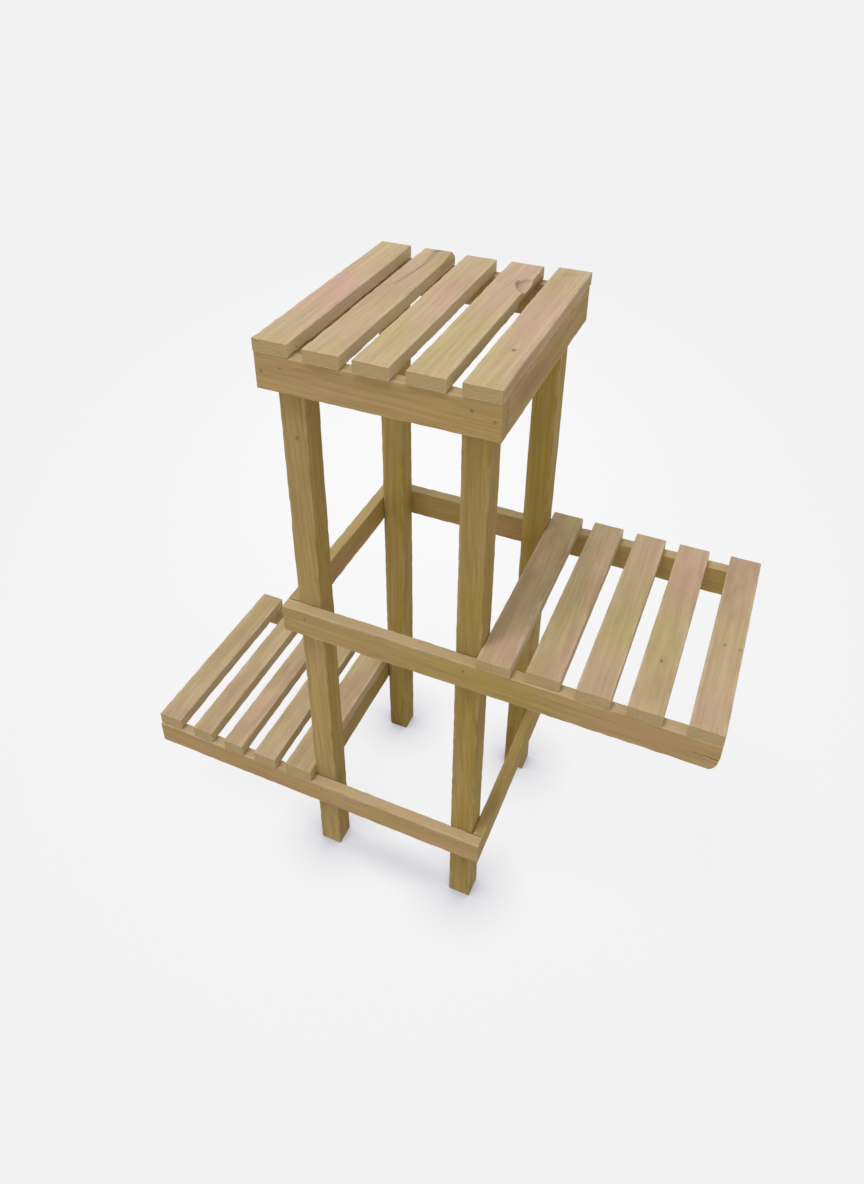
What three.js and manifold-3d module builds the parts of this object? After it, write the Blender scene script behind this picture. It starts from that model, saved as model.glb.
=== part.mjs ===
// A tiered plant stand of sawn boards and wire nails. Four legs carry a slatted top, a slatted
// shelf that reaches out to the right at mid height, and one that reaches out to the left near
// the floor. Millimetres: X runs along the shelves, Y from the front to the back and Z up.
// The boards are placed from the legs: X = 0 is midway between the left and right legs,
// Y = 0 is the front face of the front legs and Z = 0 is the floor. The finished stand is then
// shifted so that the origin lies on the floor under the middle of its outline.

import * as THREE from 'three';
import { mergeVertices } from 'three/addons/utils/BufferGeometryUtils.js';
import ManifoldModule from 'manifold-3d';

const wasm = await ManifoldModule();
wasm.setup();

// Legs
const standHeight = 914; // from the floor to the top of the upper slats
const legWidth = 34; // along X
const legDepth = 33; // along Y
const legsAcross = 260; // over the outer faces of the left and right legs
const legsDeep = 292; // over the outer faces of the front and back legs

// Boards
const longRailThickness = 17; // front and back rails
const crossRailThickness = 16; // rails and side boards that run from front to back
const cornerRound = 1.6; // worn edge along a board
const endEase = 0.8; // eased edge round a board's sawn end
const seam = 0.3; // gap between two faces that touch

// Top
const topRailHeight = 46;
const topSlatThickness = 17;

// Right shelf
const rightRailTop = 520; // height of the rails' upper edge
const rightRailHeight = 43;
const rightReach = 297; // from the legs to the shelf's end
const rightSlatThickness = 17;

// Left shelf
const leftRailTop = 161;
const leftRailHeight = 40;
const leftReach = 283;
const leftSlatThickness = 20;

// Slats, as they were sawn and laid by hand, counted from the left on the top and from the
// legs outwards on the shelves. Each has its own small errors, in steps of handError: how much
// wider it is than its nominal width, its shift from an even spacing, and how far its front
// and back ends stand past the rails.
const handError = 1;
const topSlatWidth = 44;
const topSlats = [
  { wider: 0, shift: 0, front: 1, back: 0 },
  { wider: 0, shift: 2, front: 3, back: 0 },
  { wider: -1, shift: 0.5, front: 4, back: -2 },
  { wider: 1, shift: 1, front: 3, back: 0 },
  { wider: 0, shift: 0, front: 2, back: 6 },
];
const rightSlatWidth = 42;
const rightSlats = [
  { wider: 2, shift: 0, front: 2, back: -1 },
  { wider: 1, shift: -3.5, front: -3, back: -2 },
  { wider: 0, shift: -5, front: 0, back: -3 },
  { wider: 0, shift: -7, front: 0, back: -3 },
  { wider: -1, shift: 0, front: 0, back: -1 },
];
const leftSlatWidth = 38;
const leftSlats = [
  { wider: 6, shift: 0, front: 0, back: 0 },
  { wider: 0, shift: -5, front: 2, back: 0 },
  { wider: -4, shift: -5.5, front: 1, back: -1 },
  { wider: -3, shift: -3.5, front: -1, back: -2 },
  { wider: 2, shift: 0, front: -3, back: -5 },
];

// Nails
const nailShankRadius = 1.3;
const nailHeadRadius = 2.4;
const nailHeadThickness = 1.4;
const nailPointLength = 3.5;
const nailBite = 24; // depth driven into the piece behind the board
const nailSink = 0.4; // depth of the head's face below the board's face
const nailClearance = 0.3;
const nailStagger = 16; // height between the two nails that cross inside a leg
const nailSides = 10;

// Marks of the log and of wear
const logRadius = 110; // round of the logs that the boards with a natural edge came from
const logSides = 90;
const slatWane = { width: 5, length: 50 }; // missing edge of the second top slat
const legWane = { width: 4.5, length: 260 }; // missing edge at the back left leg's foot
const knotFromBack = 70; // loose knot in the edge of the fourth top slat
const knotRadii = { across: 12, along: 17, deep: 8 };
const breakHeight = 21; // split corner at the outer end of the right shelf's front rail
const breakLength = 15;
const cutPast = 1.5; // how far a cutting solid runs on past the faces that it cuts

// Colours
const faceWood = '#b9a07b';
const railWood = '#a58a62';
const legWood = '#9c8458';
const nailSteel = '#5b4a3a';

// Places worked out from the sizes above
const legFaceX = legsAcross / 2; // outer face of the right legs
const crossOuterX = legFaceX + seam + crossRailThickness; // outer face of the cross rails
const frontOuterY = -seam - longRailThickness; // front face of the front rails
const backOuterY = legsDeep - frontOuterY; // back face of the back rails
const topRailTop = standHeight - topSlatThickness - seam;
const nailLift = nailStagger / 2;

const boards = new Map(); // name to { assembly, span, grain, colour, cuts, keep }
const nails = []; // { name, assembly, head, outward, length }

// A range of one axis that starts at a face and runs by a thickness, to either side of it
function from(face, thickness) {
  return thickness < 0 ? [face + thickness, face] : [face, face + thickness];
}

function middle([low, high]) {
  return (low + high) / 2;
}

function addBoard(assembly, name, colour, grain, x, y, z) {
  boards.set(name, { assembly, span: { x, y, z }, grain, colour, cuts: [], keep: null });
}

// ---- Turning geometry into solids and back

function toSolid(geometry) {
  const bare = geometry.clone();
  bare.deleteAttribute('normal');
  bare.deleteAttribute('uv');
  const merged = mergeVertices(bare, 1e-4);
  return new wasm.Manifold(
    new wasm.Mesh({
      numProp: 3,
      vertProperties: new Float32Array(merged.attributes.position.array),
      triVerts: new Uint32Array(merged.index.array),
    }),
  );
}

function toGeometry(solid) {
  const mesh = solid.getMesh();
  const shared = new THREE.BufferGeometry();
  shared.setAttribute('position', new THREE.BufferAttribute(mesh.vertProperties, 3));
  shared.setIndex(new THREE.BufferAttribute(mesh.triVerts, 1));
  const geometry = shared.toNonIndexed();
  geometry.computeVertexNormals();
  return geometry;
}

// ---- Boards

function roundedRectangle(width, height, radius) {
  const right = width / 2 - radius;
  const top = height / 2 - radius;
  const outline = new THREE.Shape();
  outline.absarc(right, top, radius, 0, Math.PI / 2);
  outline.absarc(-right, top, radius, Math.PI / 2, Math.PI);
  outline.absarc(-right, -top, radius, Math.PI, Math.PI * 1.5);
  outline.absarc(right, -top, radius, Math.PI * 1.5, Math.PI * 2);
  outline.closePath();
  return outline;
}

// A section with worn corners, extruded along the grain and eased round both ends
function boardGeometry(size, grain) {
  const section = { x: [size.z, size.y], y: [size.x, size.z], z: [size.x, size.y] }[grain];
  const length = size[grain] - 2 * endEase;
  const geometry = new THREE.ExtrudeGeometry(roundedRectangle(...section, cornerRound), {
    depth: length,
    curveSegments: 1,
    bevelEnabled: true,
    bevelThickness: endEase,
    bevelSize: endEase,
    bevelOffset: -endEase,
    bevelSegments: 1,
  });
  geometry.translate(0, 0, -length / 2);
  if (grain === 'x') geometry.rotateY(Math.PI / 2);
  if (grain === 'y') geometry.rotateX(-Math.PI / 2);
  return geometry;
}

function boardMesh(name, { span, grain, colour, cuts, keep }) {
  const centre = new THREE.Vector3(middle(span.x), middle(span.y), middle(span.z));
  const size = {};
  for (const axis of ['x', 'y', 'z']) size[axis] = span[axis][1] - span[axis][0];
  let solid = toSolid(boardGeometry(size, grain));
  const local = (geometry) => toSolid(geometry.clone().translate(-centre.x, -centre.y, -centre.z));
  if (keep) solid = solid.intersect(local(keep));
  for (const cut of cuts) solid = solid.subtract(local(cut));
  const material = new THREE.MeshStandardMaterial({ color: colour, roughness: 0.8, metalness: 0 });
  const mesh = new THREE.Mesh(toGeometry(solid), material);
  mesh.name = name;
  mesh.position.copy(centre);
  return mesh;
}

// ---- Nails

// Half outline of a nail from its point up to the face of its head, grown by a clearance
function nailOutline(length, grow, rise) {
  const shank = nailShankRadius + grow;
  const head = nailHeadRadius + grow;
  return [
    new THREE.Vector2(0, -length - grow),
    new THREE.Vector2(shank, nailPointLength - length - grow),
    new THREE.Vector2(shank, -nailHeadThickness - grow),
    new THREE.Vector2(head, -nailHeadThickness / 2 - grow),
    new THREE.Vector2(head, rise),
    new THREE.Vector2(0, rise),
  ];
}

// A turned solid with its axis along outward and its head's face at a point
function turned(outline, face, outward) {
  const geometry = new THREE.LatheGeometry(outline, nailSides);
  const turn = new THREE.Quaternion().setFromUnitVectors(new THREE.Vector3(0, 1, 0), outward);
  return geometry.applyQuaternion(turn).translate(face.x, face.y, face.z);
}

// A nail driven at a point of the outer board's face, through that board and into the next
function driveNail(name, face, outward, outerBoard, innerBoard, boardThickness) {
  const head = face.clone().addScaledVector(outward, -nailSink);
  const length = boardThickness + seam + nailBite - nailSink;
  nails.push({ name, assembly: boards.get(outerBoard).assembly, head, outward, length });
  const bore = turned(nailOutline(length, nailClearance, nailSink + cutPast), head, outward);
  boards.get(outerBoard).cuts.push(bore);
  boards.get(innerBoard).cuts.push(bore);
}

function nailMesh({ name, head, outward, length }) {
  const material = new THREE.MeshStandardMaterial({
    color: nailSteel,
    roughness: 0.6,
    metalness: 0.7,
  });
  const geometry = new THREE.LatheGeometry(nailOutline(length, 0, 0), nailSides);
  const mesh = new THREE.Mesh(geometry, material);
  mesh.name = name;
  mesh.position.copy(head);
  mesh.quaternion.setFromUnitVectors(new THREE.Vector3(0, 1, 0), outward);
  return mesh;
}

// ---- Legs

const sides = { left: -1, right: 1 };
const depths = { front: 0, back: legsDeep };

for (const [side, way] of Object.entries(sides)) {
  for (const [depth, face] of Object.entries(depths)) {
    const x = from(way * legFaceX, -way * legWidth);
    const y = from(face, depth === 'front' ? legDepth : -legDepth);
    addBoard('legs', `leg_${depth}_${side}`, legWood, 'z', x, y, [0, topRailTop]);
  }
}

// ---- Frames of rails that lap the legs

// The nails that hold a front or back rail to its two legs
function nailLongRail(board, depth, z) {
  const outward = new THREE.Vector3(0, depth === 'front' ? -1 : 1, 0);
  const faceY = depth === 'front' ? frontOuterY : backOuterY;
  for (const [side, way] of Object.entries(sides)) {
    const face = new THREE.Vector3(way * (legFaceX - legWidth / 2), faceY, middle(z) + nailLift);
    driveNail(`nail_${board}_${side}`, face, outward, board, `leg_${depth}_${side}`,
      longRailThickness);
  }
}

// The nails that hold a left or right cross rail to its two legs
function nailCrossRail(board, side, z) {
  const outward = new THREE.Vector3(sides[side], 0, 0);
  for (const [depth, legFace] of Object.entries(depths)) {
    const inLeg = depth === 'front' ? legDepth / 2 : -legDepth / 2;
    const face = new THREE.Vector3(sides[side] * crossOuterX, legFace + inLeg,
      middle(z) - nailLift);
    driveNail(`nail_${board}_${depth}`, face, outward, board, `leg_${depth}_${side}`,
      crossRailThickness);
  }
}

// The top's box: the front rail covers the ends of both side boards, and the side boards
// cover the ends of the back rail
function addTopFrame() {
  const z = [topRailTop - topRailHeight, topRailTop];
  const frontX = [-crossOuterX, crossOuterX];
  const backX = [-legFaceX, legFaceX];
  addBoard('top', 'top_rail_front', railWood, 'x', frontX, [frontOuterY, -seam], z);
  addBoard('top', 'top_rail_back', railWood, 'x', backX, [legsDeep + seam, backOuterY], z);
  nailLongRail('top_rail_front', 'front', z);
  nailLongRail('top_rail_back', 'back', z);
  for (const [side, way] of Object.entries(sides)) {
    const board = `top_side_${side}`;
    const x = from(way * (legFaceX + seam), way * crossRailThickness);
    addBoard('top', board, railWood, 'y', x, [0, backOuterY], z);
    nailCrossRail(board, side, z);
    const frontFace = new THREE.Vector3(middle(x), frontOuterY, middle(z));
    driveNail(`nail_top_corner_front_${side}`, frontFace, new THREE.Vector3(0, -1, 0),
      'top_rail_front', board, longRailThickness);
    const backFace = new THREE.Vector3(way * crossOuterX, backOuterY - longRailThickness / 2,
      middle(z));
    driveNail(`nail_top_corner_back_${side}`, backFace, new THREE.Vector3(way, 0, 0), board,
      'top_rail_back', crossRailThickness);
  }
}

// A shelf's frame: two long rails lap the legs and run on to the shelf's end, and two cross
// rails fill the depth between them, one on each side of the legs
function addShelfFrame(shelf, way, railTop, railHeight, reach) {
  const z = [railTop - railHeight, railTop];
  const far = way * (legFaceX + reach);
  const near = -way * crossOuterX;
  const x = [Math.min(far, near), Math.max(far, near)];
  addBoard(shelf, `${shelf}_rail_front`, railWood, 'x', x, [frontOuterY, -seam], z);
  addBoard(shelf, `${shelf}_rail_back`, railWood, 'x', x, [legsDeep + seam, backOuterY], z);
  nailLongRail(`${shelf}_rail_front`, 'front', z);
  nailLongRail(`${shelf}_rail_back`, 'back', z);
  for (const [side, sideWay] of Object.entries(sides)) {
    const board = `${shelf}_cross_${side}`;
    const crossX = from(sideWay * (legFaceX + seam), sideWay * crossRailThickness);
    addBoard(shelf, board, railWood, 'y', crossX, [0, legsDeep], z);
    nailCrossRail(board, side, z);
  }
}

// ---- Slats

// Slats laid from one face to another, evenly but for each one's own shift
function addSlats(assembly, slats, nominalWidth, start, way, run, base, thickness) {
  const widths = slats.map((slat) => nominalWidth + slat.wider * handError);
  const gap = (run - widths.reduce((sum, width) => sum + width, 0)) / (slats.length - 1);
  let along = 0;
  slats.forEach((slat, index) => {
    const x = from(start + way * (along + slat.shift * handError), way * widths[index]);
    const y = [frontOuterY - slat.front * handError, backOuterY + slat.back * handError];
    const z = from(base + seam, thickness);
    addBoard(assembly, `${assembly}_slat_${index + 1}`, faceWood, 'y', x, y, z);
    along += widths[index] + gap;
  });
}

// ---- Marks of the log and of wear

// A board sawn at the outside of the log runs out of wood along one edge. All of it lies inside
// the log's round surface, a cylinder that tapers towards the end where the edge is missing.
function addWane(name, end, corner, { width, length }) {
  const { span, grain } = boards.get(name);
  const run = span[grain][1] - span[grain][0];
  const depth = width * Math.SQRT1_2; // from the whole corner down to the natural edge
  const wideRadius = logRadius + (depth / length) * run;
  const radii = end === 'high' ? [logRadius, wideRadius] : [wideRadius, logRadius];
  const log = new THREE.CylinderGeometry(...radii, run + 2 * cutPast, logSides);
  if (grain === 'z') log.rotateX(Math.PI / 2);
  const reach = (logRadius + depth) * Math.SQRT1_2;
  const centre = { x: middle(span.x), y: middle(span.y), z: middle(span.z) };
  for (const [axis, way] of Object.entries(corner)) {
    centre[axis] = span[axis][way > 0 ? 1 : 0] - way * reach;
  }
  boards.get(name).keep = log.translate(centre.x, centre.y, centre.z);
}

// A loose knot fell out of the right edge of the fourth top slat
function addKnotHollow(slat) {
  const { span, cuts } = boards.get(slat);
  const hollow = new THREE.SphereGeometry(1, 16, 10);
  hollow.scale(knotRadii.across, knotRadii.along, knotRadii.deep);
  cuts.push(hollow.translate(span.x[1], span.y[1] - knotFromBack, span.z[1]));
}

// The lower corner of a rail's end split off along the grain, with a curved break
function addBrokenCorner(rail) {
  const { span, cuts } = boards.get(rail);
  const [endX, lowZ] = [span.x[1], span.z[0]];
  const outline = new THREE.Shape();
  outline.moveTo(endX + cutPast, lowZ - cutPast);
  outline.lineTo(endX + cutPast, lowZ + breakHeight);
  outline.lineTo(endX - endEase, lowZ + breakHeight);
  outline.quadraticCurveTo(endX - cutPast, lowZ, endX - breakLength, lowZ - cutPast);
  outline.closePath();
  const wedge = new THREE.ExtrudeGeometry(outline, {
    depth: longRailThickness + 2 * cutPast,
    curveSegments: 6,
    bevelEnabled: false,
  });
  wedge.rotateX(Math.PI / 2);
  cuts.push(wedge.translate(0, span.y[1] + cutPast, 0));
}

// ---- The stand

addTopFrame();
addShelfFrame('right_shelf', 1, rightRailTop, rightRailHeight, rightReach);
addShelfFrame('left_shelf', -1, leftRailTop, leftRailHeight, leftReach);

addSlats('top', topSlats, topSlatWidth, -crossOuterX, 1, 2 * crossOuterX, topRailTop,
  topSlatThickness);
addSlats('right_shelf', rightSlats, rightSlatWidth, legFaceX + seam, 1, rightReach - seam,
  rightRailTop, rightSlatThickness);
addSlats('left_shelf', leftSlats, leftSlatWidth, -legFaceX - seam, -1, leftReach - seam,
  leftRailTop, leftSlatThickness);

addWane('top_slat_2', 'high', { x: 1, z: 1 }, slatWane);
addWane('leg_back_left', 'low', { x: -1, y: -1 }, legWane);
addKnotHollow('top_slat_4');
addBrokenCorner('right_shelf_rail_front');

const stand = new THREE.Group();
stand.name = 'tiered_plant_stand';
const assemblies = {};
for (const name of ['legs', 'top', 'right_shelf', 'left_shelf']) {
  assemblies[name] = new THREE.Group();
  assemblies[name].name = name;
  stand.add(assemblies[name]);
}
for (const [name, board] of boards) assemblies[board.assembly].add(boardMesh(name, board));
for (const nail of nails) assemblies[nail.assembly].add(nailMesh(nail));

const overall = new THREE.Box3().setFromObject(stand);
const footprint = overall.getCenter(new THREE.Vector3());
stand.position.set(-footprint.x, -footprint.y, 0);
stand.updateMatrixWorld(true);

export default stand;
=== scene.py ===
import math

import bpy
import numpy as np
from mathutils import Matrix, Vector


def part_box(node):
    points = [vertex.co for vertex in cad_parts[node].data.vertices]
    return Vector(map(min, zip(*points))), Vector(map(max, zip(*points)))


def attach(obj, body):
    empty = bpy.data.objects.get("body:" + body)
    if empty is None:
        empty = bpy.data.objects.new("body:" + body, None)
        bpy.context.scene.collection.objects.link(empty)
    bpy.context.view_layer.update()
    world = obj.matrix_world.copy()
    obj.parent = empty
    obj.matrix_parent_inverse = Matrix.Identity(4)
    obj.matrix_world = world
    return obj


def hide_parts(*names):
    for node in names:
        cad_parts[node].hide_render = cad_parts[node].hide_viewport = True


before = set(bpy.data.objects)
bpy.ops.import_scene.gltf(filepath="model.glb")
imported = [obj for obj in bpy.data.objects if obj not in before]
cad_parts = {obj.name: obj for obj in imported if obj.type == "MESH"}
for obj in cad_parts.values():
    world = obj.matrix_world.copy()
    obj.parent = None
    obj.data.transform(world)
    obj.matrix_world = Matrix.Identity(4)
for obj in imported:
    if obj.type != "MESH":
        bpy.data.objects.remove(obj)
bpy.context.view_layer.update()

# A tiered plant stand of raw sawn boards and wire nails. Every board is made again here as a
# finer surface in the place of its plain solid: worn edges, hand-planed faces, sawn ends, nail
# dents, natural log edges and knots, with a wood whose rings run through the whole board.

mm = 0.001
print("frame loaded with", len(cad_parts), "pieces")

faceSides = {
    "right": (0, 1), "left": (0, -1), "back": (1, 1), "front": (1, -1), "top": (2, 1),
    "bottom": (2, -1),
}


def boxOf(name):
    # The low and the high corner of a CAD piece
    return [np.array(corner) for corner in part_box(name)]


def spaced(length, step, fineSpots, fineStep):
    # Places from 0 to length: steps of about one size, which close up round the fine spots.
    # The count of places up to x is the integral of 1 / step, read backwards.
    x = np.linspace(0, length, 6000)
    density = np.full_like(x, 1 / step)
    for centre, reach in fineSpots:
        near = np.exp(-(((x - centre) / reach) ** 4))
        density = np.maximum(density, near / fineStep)
    total = np.concatenate([[0], np.cumsum((density[1:] + density[:-1]) / 2 * np.diff(x))])
    count = max(3, round(total[-1]))
    return np.interp(np.linspace(0, total[-1], count + 1), total, x)


def waves(rng, along, roundabout, shortest, longest, turns, count=26):
    # A smooth random field of mean 0: a sum of cosines with wavelengths from the shortest to the
    # longest along the board, and a whole number of turns round it, so that it closes on itself
    pitch = np.exp(rng.uniform(np.log(shortest), np.log(longest), count))
    turn = rng.integers(-turns, turns + 1, count)
    phase = rng.uniform(0, 2 * np.pi, count)
    angle = along[:, None, None] / pitch + roundabout[None, :, None] * turn
    return np.cos(2 * np.pi * angle + phase).sum(-1) * np.sqrt(2 / count)


def smoothstep(x, low, high):
    # 0 below low, 1 above high, and 3t^2 - 2t^3 between them
    t = np.clip((x - low) / (high - low), 0, 1)
    return t * t * (3 - 2 * t)


def closedLoft(rows, handed):
    # Joins each ring of points to the next with quads, and closes both ends on a pole in the
    # middle of the last ring. Handed is 1 where rings turn anticlockwise seen against the way
    # they are stacked, and -1 where they turn the other way.
    ringCount, pointCount = rows.shape[:2]
    index = np.arange(ringCount * pointCount).reshape(ringCount, pointCount)
    after = np.roll(index, -1, axis=1)
    quads = np.stack([index[:-1], after[:-1], after[1:], index[1:]], -1).reshape(-1, 4)
    lowPole = np.full(pointCount, index.size)
    highPole = lowPole + 1
    fans = np.concatenate([
        np.stack([lowPole, after[0], index[0]], -1),
        np.stack([highPole, index[-1], after[-1]], -1),
    ])
    if handed < 0:
        quads = quads[:, ::-1]
        fans = fans[:, ::-1]
    return quads, fans


def withPoles(values):
    # Adds the two poles, each the mean of its end ring, to a grid of values per point
    width = values.shape[2] if values.ndim == 3 else 1
    flat = values.reshape(-1, width)
    ends = np.stack([values[0].reshape(-1, width).mean(0), values[-1].reshape(-1, width).mean(0)])
    return np.concatenate([flat, ends])


def newPiece(name, points, quads, fans, material):
    # A mesh from arrays of points, quads and triangles, riding on the stand
    mesh = bpy.data.meshes.new(name)
    corners = np.concatenate([quads.ravel(), fans.ravel()]).astype(np.int32)
    sizes = np.concatenate([np.full(len(quads), 4), np.full(len(fans), 3)])
    starts = np.concatenate([[0], np.cumsum(sizes)[:-1]]).astype(np.int32)
    mesh.vertices.add(len(points))
    mesh.vertices.foreach_set("co", points.astype(np.float32).ravel())
    mesh.loops.add(len(corners))
    mesh.loops.foreach_set("vertex_index", corners)
    mesh.polygons.add(len(sizes))
    mesh.polygons.foreach_set("loop_start", starts)
    mesh.update(calc_edges=True)
    mesh.shade_smooth()
    mesh.materials.append(material)
    piece = bpy.data.objects.new(name, mesh)
    bpy.context.scene.collection.objects.link(piece)
    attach(piece, "root")
    return piece


def writeAttribute(piece, name, values):
    # Values per point: a number, or a vector of three
    vector = values.shape[1] == 3
    kind = "FLOAT_VECTOR" if vector else "FLOAT"
    attribute = piece.data.attributes.new(name, kind, "POINT")
    attribute.data.foreach_set("vector" if vector else "value", values.astype(np.float32).ravel())


def tone(red, green, blue):
    # The linear colour of a screen colour given from 0 to 255
    share = np.array([red, green, blue]) / 255
    linear = np.where(share <= 0.04045, share / 12.92, ((share + 0.055) / 1.055) ** 2.4)
    return (*[float(x) for x in linear], 1.0)


def put(tree, kind, inputs, **settings):
    # Adds a node. An input that is a socket is linked, and any other value is set.
    node = tree.nodes.new("ShaderNode" + kind)
    for name, setting in settings.items():
        setattr(node, name, setting)
    for socket, value in inputs.items():
        if isinstance(value, bpy.types.NodeSocket):
            tree.links.new(value, node.inputs[socket])
        else:
            node.inputs[socket].default_value = value
    return node


def maths(tree, operation, *numbers, clamp=False):
    # One sum on numbers, held between 0 and 1 if it is clamped
    node = put(tree, "Math", dict(enumerate(numbers)), operation=operation, use_clamp=clamp)
    return node.outputs[0]


def vectorMaths(tree, operation, *vectors):
    # One sum on vectors. A length is a number, and any other result a vector.
    node = put(tree, "VectorMath", dict(enumerate(vectors)), operation=operation)
    return node.outputs["Value" if operation == "LENGTH" else "Vector"]


def smoothRange(tree, number, low, high, start=0.0, end=1.0):
    # Goes smoothly from the start to the end as the number goes from low to high
    node = put(tree, "MapRange", {0: number, 1: low, 2: high, 3: start, 4: end},
               interpolation_type="SMOOTHSTEP")
    return node.outputs[0]


def mixed(tree, factor, under, over, way="MIX"):
    # One colour over another, as far as the factor says
    node = put(tree, "Mix", {0: factor, 6: under, 7: over}, data_type="RGBA", blend_type=way)
    return node.outputs[2]


# Noises: how many cells a metre holds along the grain, across it and through it, and the detail
noises = {
    "slowBend": (3, 16, 16, 2), "unevenRings": (1.2, 55, 55, 1), "bands": (2.8, 90, 90, 3),
    "streaks": (7, 210, 210, 2), "fineFibre": (24, 700, 700, 2), "pores": (75, 1500, 1500, 1),
    "warmPatch": (11, 34, 34, 2), "greenPatch": (8, 40, 40, 2), "knotRough": (160, 260, 260, 2),
    "checkPatch": (1, 110, 110, 1), "scratches": (1, 1500, 90, 2), "rubbed": (26, 60, 60, 3),
    "sawRipple": (420, 14, 14, 1), "sawPatch": (8, 20, 20, 1),
    "steelDark": (340, 340, 340, 3), "steelRust": (620, 620, 620, 4),
}


def speckle(tree, place, noise):
    # One of the noises, from 0 to 1: the place is stretched by the cells in a metre
    *cells, detail = noises[noise]
    stretched = vectorMaths(tree, "MULTIPLY", place, cells)
    return put(tree, "TexNoise", {"Vector": stretched, "Scale": 1.0, "Detail": detail,
                                  "Roughness": 0.5}).outputs[0]


def newGroup(name, inputs, outputs):
    # An empty group with named sockets. Gives the group, what it takes in and what it puts out.
    group = bpy.data.node_groups.new(name, "ShaderNodeTree")
    kinds = {"vector": "NodeSocketVector", "number": "NodeSocketFloat", "colour": "NodeSocketColor"}
    for label, kind in inputs.items():
        group.interface.new_socket(name=label, in_out="INPUT", socket_type=kinds[kind])
    for label, kind in outputs.items():
        group.interface.new_socket(name=label, in_out="OUTPUT", socket_type=kinds[kind])
    given = group.nodes.new("NodeGroupInput").outputs
    result = group.nodes.new("NodeGroupOutput").inputs
    return group, given, result


def finishGroup(group, result, sockets):
    # Each socket becomes the group's output of that name
    for label, socket in sockets.items():
        group.links.new(socket, result[label])
    return group


def useEffect(tree, effect, inputs):
    # Places one of the shared effects and gives its outputs
    return put(tree, "Group", inputs, node_tree=sharedEffects[effect]).outputs


def emptyTree(owner):
    # The node tree of a new material or world, with nothing in it
    owner.use_nodes = True
    owner.node_tree.nodes.clear()
    return owner.node_tree


def makeWoodFigure():
    # Growth rings are shells round the pith: the distance to the pith, bent by slow noise and
    # counted in ring widths. Each ring darkens slowly outwards and stops at a sharp edge.
    group, given, result = newGroup(
        "woodFigure",
        {"Grain": "vector", "Ring Width": "number", "Wander": "number"},
        {"Late Wood": "number", "Bands": "number", "Fibre": "number", "Pores": "number",
         "Ring Count": "number"},
    )
    grain = given["Grain"]
    slow = maths(group, "SUBTRACT", speckle(group, grain, "slowBend"), 0.5)
    bend = maths(group, "MULTIPLY", slow, given["Wander"])
    shift = put(group, "CombineXYZ", {0: 0.0, 1: bend, 2: bend}).outputs[0]
    place = vectorMaths(group, "ADD", grain, shift)
    fromPith = vectorMaths(group, "LENGTH", vectorMaths(group, "MULTIPLY", place, (0, 1, 1)))
    count = maths(group, "DIVIDE", fromPith, given["Ring Width"])
    uneven = speckle(group, grain, "unevenRings")
    ringCount = maths(group, "MULTIPLY_ADD", uneven, 1.6, count)
    ring = maths(group, "FRACT", ringCount)
    late = maths(group, "MULTIPLY", smoothRange(group, ring, 0.25, 0.9),
                 smoothRange(group, ring, 0.93, 1.0, 1.0, 0.0))
    bands = smoothRange(group, speckle(group, place, "bands"), 0.3, 0.7)
    streaks, fine = speckle(group, place, "streaks"), speckle(group, place, "fineFibre")
    fibre = put(group, "Mix", {0: 0.4, 2: streaks, 3: fine}).outputs[0]
    pores = smoothRange(group, speckle(group, place, "pores"), 0.62, 0.76)
    return finishGroup(group, result, {"Late Wood": late, "Bands": bands, "Fibre": fibre,
                                       "Pores": pores, "Ring Count": ringCount})


def makeToneDrift():
    # Pink and yellow-green patches of fresh wood, as strong as the board's own tint says and
    # broken up by noise stretched along the grain
    group, given, result = newGroup(
        "toneDrift",
        {"Grain": "vector", "Tint": "vector", "Wood": "colour", "Pink": "colour",
         "Green": "colour", "Brown": "colour"},
        {"Colour": "colour"},
    )
    tint = put(group, "SeparateXYZ", {0: given["Tint"]}).outputs
    warm = speckle(group, given["Grain"], "warmPatch")
    warm = smoothRange(group, warm, 0.3, 0.7, 0.4, 1.3)
    cool = speckle(group, given["Grain"], "greenPatch")
    cool = smoothRange(group, cool, 0.3, 0.7, 1.25, 0.55)
    colour = given["Wood"]
    for number, patch, over in ((1, cool, "Green"), (0, warm, "Pink"), (2, warm, "Brown")):
        share = maths(group, "MULTIPLY", tint[number], patch, clamp=True)
        colour = mixed(group, share, colour, given[over])
    return finishGroup(group, result, {"Colour": colour})


def makeKnotMark():
    # A knot is drawn from the vector to its centre, in knot radii: a dark core with rings of its
    # own, and a soft halo of darker wood round it
    group, given, result = newGroup(
        "knotMark",
        {"Knot": "vector", "Grain": "vector"},
        {"Core": "number", "Halo": "number"},
    )
    rough = maths(group, "SUBTRACT", speckle(group, given["Grain"], "knotRough"), 0.5)
    distance = maths(group, "MULTIPLY_ADD", rough, 0.7, vectorMaths(group, "LENGTH", given["Knot"]))
    ring = maths(group, "FRACT", maths(group, "MULTIPLY", distance, 3.2))
    core = maths(group, "MULTIPLY", smoothRange(group, distance, 0.5, 1.2, 1.0, 0.0),
                 smoothRange(group, ring, 0.2, 1.0, 0.75, 1.0))
    halo = smoothRange(group, distance, 0.8, 2.6, 1.0, 0.0)
    return finishGroup(group, result, {"Core": core, "Halo": halo})


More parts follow.
